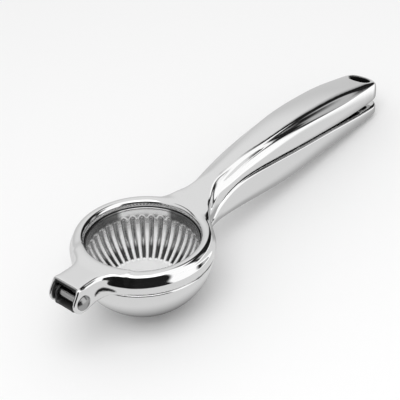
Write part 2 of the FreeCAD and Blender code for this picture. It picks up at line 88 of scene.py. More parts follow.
def smoothMax(a, b, reach):
    return -smoothMin(-a, -b, reach)


def blurred(field, passes):
    for _ in range(passes):
        for axis in range(3):
            field = np.moveaxis(field, axis, 0)
            field[1:-1] = (field[:-2] + 2 * field[1:-1] + field[2:]) / 4
            field = np.moveaxis(field, 0, axis)
    return field


def edgeDistance(px, py, edges):
    # signed distance to a closed run of edges, negative inside
    nearest = np.full(np.broadcast(px, py).shape, 1e9)
    inside = np.zeros(nearest.shape, bool)
    for (ax, ay), (bx, by) in edges:
        ex, ey = bx - ax, by - ay
        length = max(ex * ex + ey * ey, 1e-12)
        t = np.clip(((px - ax) * ex + (py - ay) * ey) / length, 0, 1)
        nearest = np.minimum(nearest, (px - ax - t * ex) ** 2 + (py - ay - t * ey) ** 2)
        if ey:
            inside ^= ((ay > py) != (by > py)) & (px < ax + (py - ay) * ex / ey)
    return np.where(inside, -1, 1) * np.sqrt(nearest)


def outlineDistance(px, py, outline):
    return edgeDistance(px, py, zip(outline, outline[1:] + outline[:1]))


def halfOutlineDistance(px, py, outline):
    # for an outline that is mirrored in px = 0, given as its right half from bottom to top
    closed = [(0.0, outline[0][1])] + outline + [(0.0, outline[-1][1])]
    return edgeDistance(np.abs(px) + 1e-4, py, zip(closed, closed[1:]))


def surfaceOf(block, field):
    inside = field < 0
    corners = list(np.ndindex(2, 2, 2))
    size = np.array(block.shape) - 1
    total = np.zeros(size, np.int8)
    for a, b, c in corners:
        total += inside[a:a + size[0], b:b + size[1], c:c + size[2]]
    active = (total > 0) & (total < 8)
    cells = np.argwhere(active)
    number = np.full(tuple(size), -1, np.int32)
    number[active] = np.arange(len(cells))
    values = {corner: field[tuple((cells + corner).T)] for corner in corners}
    place, count = np.zeros((len(cells), 3)), np.zeros((len(cells), 1))
    for first in corners:
        for axis in range(3):
            if first[axis]:
                continue
            second = tuple(v + (i == axis) for i, v in enumerate(first))
            va, vb = values[first], values[second]
            crossed = (va < 0) != (vb < 0)
            t = np.where(crossed, va / np.where(crossed, va - vb, 1), 0)[:, None]
            place += np.where(crossed[:, None], np.array(first) + t * np.eye(3)[axis], 0)
            count += crossed[:, None]
    points = block.low + block.step * (cells + place / count)
    quads = []
    for axis in range(3):
        u, v = np.eye(3, dtype=int)[(axis + 1) % 3], np.eye(3, dtype=int)[(axis + 2) % 3]
        lower = np.moveaxis(inside, axis, 0)
        change = np.moveaxis(lower[:-1] != lower[1:], 0, axis)
        nodes = np.argwhere(change)
        outward = inside[tuple(nodes.T)]
        ring = [number[tuple((nodes - move).T)] for move in (u + v, v, 0 * u, u)]
        quad = np.stack(ring, axis=1)
        quads.append(np.where(outward[:, None], quad, quad[:, ::-1]))
    return points, np.concatenate(quads)


def meshOf(name, block, field, blur, body, nodes, material, masks):
    field = blurred(field.astype(np.float32), blur)
    points, quads = surfaceOf(block, field)
    for _ in range(grid["settle"]):
        slope = block.slope(field, points)
        step = block.sample(field, points) / np.maximum((slope ** 2).sum(axis=1), grid["leastSlope"])
        points = points - slope * np.clip(step, -grid["mostSettle"], grid["mostSettle"])[:, None]
    normals = block.slope(field, points)
    normals /= np.maximum(np.linalg.norm(normals, axis=1), 1e-6)[:, None]
    turn = np.array(toRow.to_3x3().normalized())
    placed = points @ np.array(toRow.to_3x3()).T + np.array(toRow.translation)
    mesh = bpy.data.meshes.new(name)
    mesh.vertices.add(len(placed))
    mesh.vertices.foreach_set("co", placed.astype(np.float32).ravel())
    mesh.loops.add(quads.size)
    mesh.loops.foreach_set("vertex_index", quads.astype(np.int32).ravel())
    mesh.polygons.add(len(quads))
    mesh.polygons.foreach_set("loop_start", np.arange(0, quads.size, 4, dtype=np.int32))
    mesh.update(calc_edges=True)
    mesh.validate()
    mesh.polygons.foreach_set("use_smooth", np.ones(len(mesh.polygons), bool))
    mesh.normals_split_custom_set_from_vertices((normals @ turn.T).tolist())
    for maskName, mask in masks.items():
        shade = mesh.attributes.new(maskName, "FLOAT", "POINT")
        shade.data.foreach_set("value", np.clip(mask(points), 0, 1).astype(np.float32))
    made = bpy.data.objects.new(name, mesh)
    return finished(made, body, nodes, material)


def finished(made, body, nodes, material):
    bpy.context.scene.collection.objects.link(made)
    made.data.materials.append(material)
    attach(made, body)
    if nodes:
        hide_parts(*nodes)
    print("made", made.name, len(made.data.polygons), "faces")
    return made


# shader maths

class Wire:
    def __init__(self, tree, socket=None):
        self.tree, self.socket = tree, socket

    def node(self, kind, settings, values, output=0):
        made = self.tree.nodes.new(kind)
        for name, value in settings.items():
            if name == "stops":
                ramp = made.color_ramp
                while len(ramp.elements) < len(value):
                    ramp.elements.new(1.0)
                for element, (position, shade) in zip(ramp.elements, value):
                    element.position = position
                    element.color = (shade, shade, shade, 1)
            else:
                setattr(made, name, value)
        for key, value in values.items():
            if isinstance(value, Wire):
                self.tree.links.new(value.socket, made.inputs[key])
            else:
                made.inputs[key].default_value = value
        return Wire(self.tree, made.outputs[output])

    def math(self, operation, first, second):
        return self.node("ShaderNodeMath", {"operation": operation}, {0: first, 1: second})

    def __add__(self, other):
        return self.math("ADD", self, other)

    def __radd__(self, other):
        return self.math("ADD", other, self)

    def __sub__(self, other):
        return self.math("SUBTRACT", self, other)

    def __rsub__(self, other):
        return self.math("SUBTRACT", other, self)

    def __mul__(self, other):
        return self.math("MULTIPLY", self, other)

    def __rmul__(self, other):
        return self.math("MULTIPLY", other, self)

    def other(self, name):
        # another output of the same node
        return Wire(self.tree, self.socket.node.outputs[name])

    def mixGrey(self, low, high):
        return joinGrey(self, low + (high - low) * self)

    def between(self, low, high, soft):
        return self.fade(low - soft, low + soft) * (1 - self.fade(high - soft, high + soft))

    def fade(self, low, high):
        # 0 up to low, 1 from high, smooth between
        settings = {"interpolation_type": "SMOOTHSTEP"}
        return self.node("ShaderNodeMapRange", settings, {0: self, 1: low, 2: high, 3: 0.0, 4: 1.0})


texture = {"cloudDetail": 3.0, "grainDetail": 2.0, "grainHeight": 0.0002}


def grey(shade):
    return (shade, shade, shade, 1.0)


def joinGrey(start, shade):
    return start.node("ShaderNodeCombineColor", {}, {0: shade, 1: shade, 2: shade})


def metal(name, look):
    # polished or satin metal: faint cloudy stains, a fine grain, and painted shade, near black, where the inner
    # attribute marks hollows and gaps
    material = bpy.data.materials.new(name)
    material.use_nodes = True
    tree = material.node_tree
    start = Wire(tree)
    place = start.node("ShaderNodeTexCoord", {}, {}, "Object")
    cloud = start.node("ShaderNodeTexNoise", {}, {"Vector": place, "Scale": look["cloudScale"],
                                                  "Detail": texture["cloudDetail"]})
    grain = start.node("ShaderNodeTexNoise", {}, {"Vector": place, "Scale": look["grainScale"],
                                                  "Detail": texture["grainDetail"]})
    inner = start.node("ShaderNodeAttribute", {"attribute_name": "inner"}, {}, "Fac")
    shade = look["shade"] + (cloud - 0.5) * look["stain"]
    rough = look["rough"] + (cloud - 0.5) * look["roughSpread"] + inner * look["innerRough"]
    shader = tree.nodes["Principled BSDF"]
    shader.inputs["Metallic"].default_value = 1.0
    if "mattRough" in look:  # matt places: rougher and less like a mirror, and painted paler, a painted highlight
        matt = start.node("ShaderNodeAttribute", {"attribute_name": "matt"}, {}, "Fac")
        rough = rough + matt * look["mattRough"]
        shade = shade + matt * look["mattPaintedHighlight"]
        tree.links.new((1 - matt * look["mattPale"]).socket, shader.inputs["Metallic"])
    # the inner attribute mixes in painted shade: hollows, gaps and hole mouths painted near black
    colour = start.node("ShaderNodeMix", {"data_type": "RGBA"},
                        {0: inner, 6: joinGrey(start, shade), 7: grey(look["paintedShadeGrey"])}, 2)
    bump = start.node("ShaderNodeBump", {}, {"Strength": look["bump"], "Distance": texture["grainHeight"],
                                             "Height": grain})
    for key, wire in (("Base Color", colour), ("Roughness", rough), ("Normal", bump)):
        tree.links.new(wire.socket, shader.inputs[key])
    return material


polished = metal("polishedCasting", {"shade": 0.87, "stain": 0.03, "cloudScale": 60.0, "rough": 0.07,
                                     "roughSpread": 0.03, "grainScale": 2500.0, "bump": 0.02,
                                     "paintedShadeGrey": 0.03, "innerRough": 0.5})
satin = metal("satinCup", {"shade": 0.84, "stain": 0.05, "cloudScale": 140.0, "rough": 0.13,
                           "roughSpread": 0.05, "grainScale": 3200.0, "bump": 0.05,
                           "paintedShadeGrey": 0.03, "innerRough": 0.15, "mattRough": 0.4, "mattPale": 0.85,
                           "mattPaintedHighlight": 0.13})
rivetMetal = metal("rivetMetal", {"shade": 0.42, "stain": 0.08, "cloudScale": 400.0, "rough": 0.24,
                                  "roughSpread": 0.08, "grainScale": 4000.0, "bump": 0.04,
                                  "paintedShadeGrey": 0.04, "innerRough": 0.15})


# the two handles: one lines plan, a column for each station from the ring to the handle's end

plan = {
    "x": [29.0, 37.0, 42.5, 48.0, 58.0, 72.0, 90.0, 112.0, 136.0, 160.0, 180.0, 192.0, 200.0],
    "creaseHalf": [19.0, 12.6, 9.0, 5.9, 4.4, 4.9, 7.0, 8.6, 9.2, 9.3, 9.0, 8.6, 7.6],
    "creaseZ": [1.6, 7.2, 9.0, 12.0, 14.8, 17.4, 19.7, 21.6, 21.3, 19.2, 15.8, 12.7, 8.2],
    "crown": [1.6, 1.2, 1.2, 1.0, 0.8, 0.8, 1.0, 1.2, 1.3, 1.3, 1.2, 1.1, 0.8],
    "ledgeHalf": [20.0, 13.2, 10.6, 8.6, 8.0, 8.3, 9.3, 10.8, 11.6, 11.5, 10.5, 9.4, 8.6],
    "ledgeZ": [0.6, 3.2, 5.2, 8.8, 12.8, 16.2, 18.3, 18.7, 17.3, 15.5, 14.0, 11.0, 6.8],
    "share": [0.16, 0.16, 0.16, 0.16, 0.16, 0.16, 0.16, 0.12, 0.08, 0.07, 0.07, 0.07, 0.07],
    "slitHalf": [20.0, 12.6, 10.0, 8.8, 9.0, 9.7, 10.3, 10.7, 10.9, 10.7, 10.3, 10.0, 9.8],
    "slitZ": [-4.5, -4.5, -4.3, -1.0, 5.2, 8.2, 8.0, 6.4, 4.9, 3.4, 2.6, 2.1, 1.8],
    "slitGap": [0.2, 0.2, 0.3, 0.5, 0.6, 0.6, 0.7, 0.8, 1.0, 1.8, 3.0, 3.5, 3.8],
    "keelZ": [-13.5, -12.6, -12.4, -12.6, -13.1, -14.0, -15.4, -16.0, -14.0, -12.4, -11.2, -10.1, -9.4],
}
handle = {
    "bulge": 0.6, "keelFlat": 3.4, "wall": 2.2, "beyondSlit": 3.0,
    "bellyWidth": 0.99, "bellyDepth": 0.4, "turnWidth": 0.74, "turnDepth": 0.79,
    "holeX": 187.0, "holeRadius": 6.0, "endRadius": 10.3, "endSpread": 0.12, "endRound": 2.4,
    "cavityStart": 52.0, "cavityStop": 176.0, "ribFirst": 84.0, "ribPitch": 32.0, "ribCount": 3,
    "ribThickness": 1.8, "slitRound": 0.8, "cavityRound": 0.8, "holeRound": 1.0, "rimRound": 2.4,
    "curveCount": 9, "sideCount": 20, "gripHalf": 26.0, "margin": 3.0,
}


def splineThrough(xs, ys):
    # natural cubic spline as a function
    n = len(xs)
    h = np.diff(xs)
    left = np.eye(n)
    right = np.zeros(n)
    for i in range(1, n - 1):
        left[i, i - 1:i + 2] = h[i - 1], 2 * (h[i - 1] + h[i]), h[i]
        right[i] = 6 * ((ys[i + 1] - ys[i]) / h[i] - (ys[i] - ys[i - 1]) / h[i - 1])
    bend = np.linalg.solve(left, right)

    def value(x):
        i = int(np.clip(np.searchsorted(xs, x) - 1, 0, n - 2))
        a, b = (xs[i + 1] - x) / h[i], (x - xs[i]) / h[i]
        curve = ((a ** 3 - a) * bend[i] + (b ** 3 - b) * bend[i + 1]) * h[i] ** 2 / 6
        return a * ys[i] + b * ys[i + 1] + curve
    return value


guides = {name: splineThrough(plan["x"], values) for name, values in plan.items() if name != "x"}


def planPoint(name, x):
    return guides[name + "Half"](x), guides[name + "Z"](x)


def bentThrough(start, middle, end, count):
    # points of the curve with two ends and a middle point
    ts = np.linspace(0, 1, count)
    start, middle, end = np.array(start), np.array(middle), np.array(end)
    return [tuple(start * (1 - t) * (1 - 2 * t) + middle * 4 * t * (1 - t) + end * t * (2 * t - 1)) for t in ts]


def upperOutline(x):
    slit, ledge, crease = [planPoint(name, x) for name in ("slit", "ledge", "crease")]
    low = (slit[0], slit[1] - handle["beyondSlit"])
    middle = ((slit[0] + ledge[0]) / 2 + handle["bulge"], (slit[1] + ledge[1]) / 2)
    run, rise = crease[0] - ledge[0], crease[1] - ledge[1]
    share = guides["share"](x)
    bottom = ((ledge[0] + crease[0]) / 2 - rise * share, (ledge[1] + crease[1]) / 2 + run * share)
    lift = guides["crown"](x)
    count = handle["curveCount"]
    crown = [(crease[0] * t, crease[1] + lift * (1 - t * t)) for t in np.linspace(1, 0, count)]
    side = bentThrough(slit, middle, ledge, count) + bentThrough(ledge, bottom, crease, count)[1:]
    return [(0.0, low[1]), low] + side + crown[1:]


def lowerOutline(x):
    (half, slit), keel = planPoint("slit", x), guides["keelZ"](x)
    rim, flat = slit - guides["slitGap"](x), handle["keelFlat"]
    depth = rim - keel
    knots = [(flat, keel), (flat + (half - flat) * handle["turnWidth"], rim - depth * handle["turnDepth"]),
             (flat + (half - flat) * handle["bellyWidth"], rim - depth * handle["bellyDepth"]), (half, rim)]
    ts = np.cumsum([0] + [math.dist(a, b) for a, b in zip(knots, knots[1:])])
    across, up = splineThrough(ts, [k[0] for k in knots]), splineThrough(ts, [k[1] for k in knots])
    side = [(across(t), up(t)) for t in np.linspace(0, ts[-1], handle["sideCount"])]
    return [(0.0, keel)] + side + [(half, rim + handle["beyondSlit"]), (0.0, rim + handle["beyondSlit"])]


def upperCavity(x):
    wall = handle["wall"]
    slit, ledge, crease = [planPoint(name, x) for name in ("slit", "ledge", "crease")]
    top = max(crease[0] - wall, wall)
    return [(0.0, slit[1] - wall), (slit[0] - wall, slit[1] - wall), (slit[0] - wall, slit[1] + wall),
            (ledge[0] - wall, ledge[1] - wall), (top, crease[1] - wall), (0.0, crease[1] - wall)]


def lowerCavity(x):
    wall = handle["wall"]
    outline, last = lowerOutline(x), handle["sideCount"]
    corner, belly, rim = outline[1], outline[last // 2], outline[last]
    # the corner and the belly step in along their slope, so by parts of the wall
    return [(0.0, corner[1] + wall), (corner[0] + wall / 3, corner[1] + wall),
            (belly[0] - wall * 0.8, belly[1] + wall / 2), (rim[0] - wall, rim[1] - wall),
            (rim[0] - wall, rim[1] + wall), (0.0, rim[1] + wall)]


def alongHandle(block, outlineAt, first, last):
    # the field of a section that changes along the handle
    field = np.full(block.shape, grid["far"])
    across, up = np.meshgrid(block.axes[1], block.axes[2], indexing="ij")
    near = np.abs(block.axes[1]) < handle["gripHalf"]
    for i, x in enumerate(block.axes[0]):
        if first - handle["margin"] <= x <= last + handle["margin"]:
            outline = outlineAt(min(max(x, first), last))
            field[i, near] = halfOutlineDistance(across[near], up[near], outline)
    ends = np.maximum(first - block.x, block.x - last)
    return np.maximum(field, ends)


def endOfHandle(block):
    beyond = np.maximum(block.x - handle["holeX"], 0)
    spread = np.maximum(handle["holeX"] - block.x, 0) * handle["endSpread"]
    return np.hypot(beyond, block.y) - handle["endRadius"] - spread


def pastSlit(block, gap):
    levels = []
    for x in block.axes[0]:
        x = min(max(x, plan["x"][0]), plan["x"][-1])
        levels.append(guides["slitZ"](x) - gap * guides["slitGap"](x))
    levels = np.array(levels)
    steep = np.sqrt(1 + np.gradient(levels, block.step) ** 2)
    return (block.z - levels[:, None, None]) / steep[:, None, None]


def cavity(block, outlineAt):
    field = alongHandle(block, outlineAt, handle["cavityStart"], handle["cavityStop"])
    for k in range(handle["ribCount"]):
        rib = handle["ribFirst"] + k * handle["ribPitch"]
        field = np.maximum(field, handle["ribThickness"] / 2 - np.abs(block.x - rib))
    return field


# ring, hinge plate and ears

ring = {
    "bore": 29.45, "recess": 31.05, "shoulder": -2.0, "seam": -4.5, "ball": 37.0,
    "skirt": (36.9, 0.8), "skirtRound": -4.8, "cove": (35.5, 3.3), "coveRound": 3.0,
    "crown": (32.9, 6.3), "crownRound": 9.0, "inner": (30.5, 6.0), "innerRound": 4.0, "edge": 4.0,
    "joinHandle": 3.5, "joinPlate": 3.0, "reach": 46.0, "tableReach": 70.0, "tableStep": 0.1,
}
hinge = {
    "x": -50.3, "z": -2.5, "half": 9.2, "earWall": 2.0, "earRadius": 6.5, "lowAngle": -70.0, "highAngle": 150.0,
    "top": 6.2, "end": -52.6, "thickness": 2.8, "foot": -25.5, "footZ": -4.3, "flareStart": -43.0,
    "flareEnd": -31.0, "flareHalf": 17.0, "flareRadius": 13.0, "slotEnd": -38.8, "bore": 2.42,
    "round": 1.2, "topRound": 2.6, "topStart": 2.0, "topOver": 2.0, "endStart": 1.0, "endOver": 3.0,
    "gapRound": 0.8, "roomRound": 0.6, "arcCount": 24,
    "room": 0.2, "cheekWall": 1.7, "cheekRadius": 4.5, "cheekFoot": -41.0, "tongueTop": -6.0,
    "tongueBase": -7.4, "tongueEnd": -55.4, "tongueRoot": -33.5, "cheekBore": 2.46, "tongueRound": 0.5,
}
paintedShadeReach = {  # how far the painted shade of hollows, gaps and hole mouths reaches past their faces, how softly it ends, and the tongue's share
    "skin": 0.1, "hollowFade": 0.7, "notchFade": 0.4, "bore": 0.3, "boreDrop": 1.3, "hole": 0.5,
    "hinge": 0.3, "hingeEnd": 0.4, "hingeTop": 0.5, "tongue": 0.9, "tongueInset": 1.0,
}


def arcPoints(start, end, radius, count=12):
    # points from start up to, not with, end; a positive radius bulges to the right of the way
    a, b = complex(*start), complex(*end)
    half = abs(b - a) / 2
    side = (b - a) / abs(b - a) * -1j
    centre = (a + b) / 2 - side * math.copysign(math.sqrt(radius ** 2 - half ** 2), radius)
    turn = 2 * math.asin(half / abs(radius)) * math.copysign(1, radius)
    spins = [complex(math.cos(turn * k / count), math.sin(turn * k / count)) for k in range(count)]
    points = [centre + (a - centre) * spin for spin in spins]
    return [(p.real, p.imag) for p in points]


def ringOutline():
    r = ring
    foot = (math.sqrt(r["ball"] ** 2 - r["seam"] ** 2), r["seam"])
    edge = (r["bore"], r["edge"])
    outline = [(r["bore"], r["shoulder"]), (r["recess"], r["shoulder"]), (r["recess"], r["seam"])]
    outline += arcPoints(foot, r["skirt"], r["ball"])
    outline += arcPoints(r["skirt"], r["cove"], r["skirtRound"])
    outline += arcPoints(r["cove"], r["crown"], r["coveRound"])
    outline += arcPoints(r["crown"], r["inner"], r["crownRound"])
    outline += arcPoints(r["inner"], edge, r["innerRound"])
    return outline + [edge]


def ringField(block):
    reach = block.axes[0] < ring["reach"]
    field = np.full(block.shape, grid["far"])
    radius = np.hypot(block.x, block.y)[reach]
    rs, zs = np.arange(0, ring["tableReach"], ring["tableStep"]), block.axes[2]
    table = outlineDistance(rs[:, None], zs[None, :], ringOutline())
    low = np.clip((radius / ring["tableStep"]).astype(int), 0, len(rs) - 2)
    part = radius / ring["tableStep"] - low
    field[reach] = table[low[:, :, 0]] * (1 - part) + table[low[:, :, 0] + 1] * part
    return field


def plateField(block):
    h = hinge
    turn = [math.radians(a) for a in np.linspace(h["lowAngle"], h["highAngle"] - 360, h["arcCount"])]
    ear = [(h["x"] + h["earRadius"] * math.cos(a), h["z"] + h["earRadius"] * math.sin(a)) for a in turn]
    side = [(h["end"], h["top"]), (h["foot"], h["top"]), (h["foot"], h["footZ"])] + ear
    far = h["x"] - 2 * h["earRadius"]
    flare = arcPoints((h["flareStart"], -h["half"]), (h["flareEnd"], -h["flareHalf"]), -h["flareRadius"])
    outline = [(far, -h["half"])] + flare + [(h["flareEnd"], -h["flareHalf"]), (h["foot"], -h["flareHalf"])]
    outline += [(x, -y) for x, y in reversed(outline)]
    sideField = outlineDistance(block.x[:, 0, :], block.z[0], side)[:, None, :]
    planField = outlineDistance(block.x[:, :, 0], block.y[0].T, outline)[:, :, None]
    inner = h["half"] - h["earWall"]
    under = h["top"] - h["thickness"]
    gap = smoothMax(np.abs(block.y) - inner, np.maximum(block.x - h["slotEnd"], block.z - under), h["gapRound"])
    mouth = np.maximum(np.abs(block.y) - inner, block.x - h["end"])
    tongueRoom = np.maximum(np.abs(block.y) - inner, block.z - h["tongueTop"] - h["room"])
    bowlRoom = np.maximum(np.hypot(block.x, block.y) - ring["ball"] - h["room"], block.z - ring["seam"])
    bore = np.hypot(block.x - h["x"], block.z - h["z"]) - h["bore"]
    high = np.clip((block.z - h["topStart"]) / h["topOver"], 0, 1)
    high = high * np.clip((block.x - h["end"] - h["endStart"]) / h["endOver"], 0, 1)
    field = smoothMax(sideField, planField, h["round"] + (h["topRound"] - h["round"]) * high)
    for room in (gap, mouth, tongueRoom, bowlRoom):
        field = smoothMax(field, -room, h["roomRound"])
    return np.maximum(field, -bore)


notch = {
    "path": [(-42.9, -9.2, -3.0), (-42.0, -9.3, -1.9), (-40.2, -9.5, -1.1), (-38.4, -10.1, -1.0),
             (-36.6, -11.5, -1.7), (-35.0, -13.4, -2.4), (-34.2, -14.6, -2.7)],
    "width": [0.1, 0.6, 0.85, 0.85, 0.75, 0.45, 0.1], "round": 0.2, "margin": 2.0,
}


def notchField(block):
    # a pointed groove where the ear runs into the skirt
    field = np.full(block.shape, grid["far"])
    path = np.array(notch["path"])
    margin = notch["margin"]
    near = tuple(slice(*np.searchsorted(axis, (low - margin, high + margin)))
                 for axis, low, high in zip(block.axes, path.min(axis=0), path.max(axis=0)))
    spot = [axis[cut].reshape([-1 if k == i else 1 for k in range(3)])
            for i, (axis, cut) in enumerate(zip(block.axes, near))]
    part = field[near]
    for a, b, wide, narrow in zip(path, path[1:], notch["width"], notch["width"][1:]):
        way = b - a
        t = np.clip(sum((spot[i] - a[i]) * way[i] for i in range(3)) / (way @ way), 0, 1)
        away = np.sqrt(sum((spot[i] - a[i] - t * way[i]) ** 2 for i in range(3)))
        part = np.minimum(part, away - wide - t * (narrow - wide))
    field[near] = part
    return field


def within(*limits):
    # 1 inside all of the limits, 0 outside, from distances that are negative inside
    return np.clip(0.5 - np.maximum.reduce(limits) / grid["softEdge"], 0, 1)


def hingeGapShade(x, y, z):
    # the parts of a lever that face into the hinge: they get painted shade
    h = hinge
    past = paintedShadeReach["hinge"]
    side = np.abs(y) - (h["half"] - h["earWall"]) - past
    under = within(side, x - h["slotEnd"] - past, z - h["top"] + h["thickness"] - past)
    end = within(side, x - h["end"] - paintedShadeReach["hingeEnd"], z - h["top"] + paintedShadeReach["hingeTop"])
    return np.maximum(under, end)


def makeUpperLever():
    block = Block(*boxes["upper"], grid["lever"])
    radius = np.hypot(block.x, block.y)
    core = ring["recess"] - radius
    underRing = np.maximum(radius - ring["ball"] - hinge["room"], block.z - ring["seam"])
    grip = alongHandle(block, upperOutline, plan["x"][0], plan["x"][-1])
    grip = smoothMax(grip, -pastSlit(block, 0), handle["slitRound"])
    grip = smoothMax(grip, endOfHandle(block), handle["endRound"])
    grip = np.maximum(np.maximum(grip, core), -underRing)
    plate = np.maximum(plateField(block), core)
    field = smoothMin(ringField(block), plate, ring["joinPlate"])
    field = smoothMin(field, grip, ring["joinHandle"])
    bore = np.minimum(radius - ring["bore"], np.maximum(-core, block.z - ring["shoulder"]))
    field = np.maximum(field, -bore)
    hollow = cavity(block, upperCavity)
    field = smoothMax(field, -hollow, handle["cavityRound"])
    hole = np.hypot(block.x - handle["holeX"], block.y) - handle["holeRadius"]
    field = smoothMax(field, -hole, handle["holeRound"])
    groove = notchField(block)
    field = smoothMax(field, -groove, notch["round"])

    # painted shade, near black: the bore's wall above the cup, the hanging hole's mouth, the hollow, the notch
    # groove and the hinge gap
    def inner(points):
        x, y, z = points.T
        bore = within(np.hypot(x, y) - ring["bore"] - paintedShadeReach["bore"],
                      z - ring["edge"] + paintedShadeReach["boreDrop"])
        rim = within(np.hypot(x - handle["holeX"], y) - handle["holeRadius"] - paintedShadeReach["hole"],
                     z - guides["creaseZ"](handle["holeX"]))
        hollowShade = 1 - (block.sample(hollow, points) - paintedShadeReach["skin"]) / paintedShadeReach["hollowFade"]
        cut = 1 - (block.sample(groove, points) - paintedShadeReach["skin"]) / paintedShadeReach["notchFade"]
        return np.maximum.reduce([bore, rim, hollowShade, cut, hingeGapShade(x, y, z)])
    meshOf("upperCasting", block, field, grid["leverBlur"], "upper", ["upper_lever"], polished,
           {"inner": inner})


bowl = {
    "inside": 34.5, "rim": -4.7, "rimRound": 0.6, "slotCount": 8, "slotHalf": 1.3, "slotInner": 10.8,
    "slotOuter": 17.2, "joinHandle": 5.0, "joinTongue": 2.0, "slotRound": 0.6, "clearEnd": 38.0,
}


def drainField(block):
    # slots as capsules in the plan, one for each sector
    angle = np.arctan2(block.y, block.x) % (2 * math.pi / bowl["slotCount"]) - math.pi / bowl["slotCount"]
    radius = np.hypot(block.x, block.y)
    along, across = radius * np.cos(angle), radius * np.sin(angle)
    off = along - np.clip(along, bowl["slotInner"], bowl["slotOuter"])
    return np.maximum(np.hypot(off, across) - bowl["slotHalf"], block.z)


def tongueField(block):
    h = hinge
    outer = h["half"] - h["earWall"] - h["room"]
    inner = outer - h["cheekWall"]
    level = np.maximum(block.z - h["tongueTop"], h["tongueBase"] - block.z)
    length = np.maximum(h["tongueEnd"] - block.x, block.x - h["tongueRoot"])
    flat = smoothMax(np.maximum(level, length), np.abs(block.y) - outer, h["tongueRound"])
    turn = np.radians(np.linspace(0, 180, h["arcCount"]))
    side = [(h["x"] + h["cheekRadius"] * math.cos(a), h["z"] + h["cheekRadius"] * math.sin(a)) for a in turn]
    side += [(h["x"] - h["cheekRadius"], h["tongueBase"]), (h["cheekFoot"], h["tongueBase"])]
    sideField = outlineDistance(block.x[:, 0, :], block.z[0], side)[:, None, :]
    sides = np.maximum(np.abs(block.y) - outer, inner - np.abs(block.y))
    cheeks = smoothMax(sideField, sides, h["tongueRound"])
    bore = np.hypot(block.x - h["x"], block.z - h["z"]) - h["cheekBore"]
    return np.maximum(smoothMin(flat, cheeks, h["tongueRound"]), -bore)


def makeLowerLever():
    block = Block(*boxes["lower"], grid["lever"])
    radius = np.sqrt(block.x ** 2 + block.y ** 2 + block.z ** 2)
    grip = alongHandle(block, lowerOutline, plan["x"][0], plan["x"][-1])
    grip = smoothMax(grip, pastSlit(block, 1), handle["rimRound"])
    grip = smoothMax(grip, endOfHandle(block), handle["slitRound"])
    overBowl = np.maximum(np.hypot(block.x, block.y) - ring["ball"] - hinge["room"], bowl["rim"] - block.z)
    grip = np.maximum(grip, -overBowl)
    rim = block.z - bowl["rim"]
    ball = np.maximum(radius - ring["ball"], rim)
    field = smoothMin(ball, grip, bowl["joinHandle"])
    field = smoothMin(field, tongueField(block), bowl["joinTongue"])
    # nothing of the handle's root or the tongue stands over the bowl's rim
    overRim = (block.x >= hinge["cheekFoot"]) & (block.x < bowl["clearEnd"])
    clear = np.where(overRim, rim, -grid["far"])
    field = np.maximum(field, clear)
    field = smoothMax(field, bowl["inside"] - radius, bowl["rimRound"])
    hollow = cavity(block, lowerCavity)
    field = smoothMax(field, -hollow, handle["cavityRound"])
    field = smoothMax(field, -drainField(block), bowl["slotRound"])

    # painted shade, near black: the hollow, and partly the tongue between the ears
    def inner(points):
        x, _, z = points.T
        hollowShade = 1 - (block.sample(hollow, points) - paintedShadeReach["skin"]) / paintedShadeReach["hollowFade"]
        tongue = within(x - hinge["cheekFoot"] + paintedShadeReach["tongueInset"], -z + hinge["tongueBase"])
        return np.maximum(hollowShade, paintedShadeReach["tongue"] * tongue)
    meshOf("lowerCasting", block, field, grid["leverBlur"], "lower", ["lower_lever"], polished,
           {"inner": inner})


cup = {
    "inside": 28.4, "outside": 30.6, "band": 29.4, "flange": 31.0, "flangeTop": -2.05, "skirt": -4.5,
    "bandDrop": 0.5, "edge": 2.4, "floor": -23.0, "under": -25.2, "edgeRound": 0.8, "floorRound": 1.2,
    "fluteCount": 36, "fluteRadius": 1.45, "fluteDepth": 1.1, "fluteRound": 0.35,
    "topAngle": 8.5, "endAngle": 52.0,
}
# painted shade and painted highlight on the cup's inside, place by place, and where it is matt; angles are in
# degrees and the rest in mm or shares
cupShadeAndMatt = {
    "insideMargin": 0.2, "grooveShare": 0.62, "grooveSoft": 0.14, "grooveReach": 0.25, "grooveFade": 0.15,
    "grooveTop": 0.42, "grooveFoot": 0.99, "footAngle": 32.0, "footOver": 7.0,
    "band": 0.82, "bandPast": 2.0, "bandOver": 5.0, "patchAngle": 42.0, "patchHalf": 30.0, "patchOver": 6.0,
    "rim": 0.1, "rimDrop": 0.9, "rimOver": 0.5, "floorSkin": 0.05, "floorOver": 0.2,
    "floorMatt": 0.6, "ridgeOver": 16.0,
}


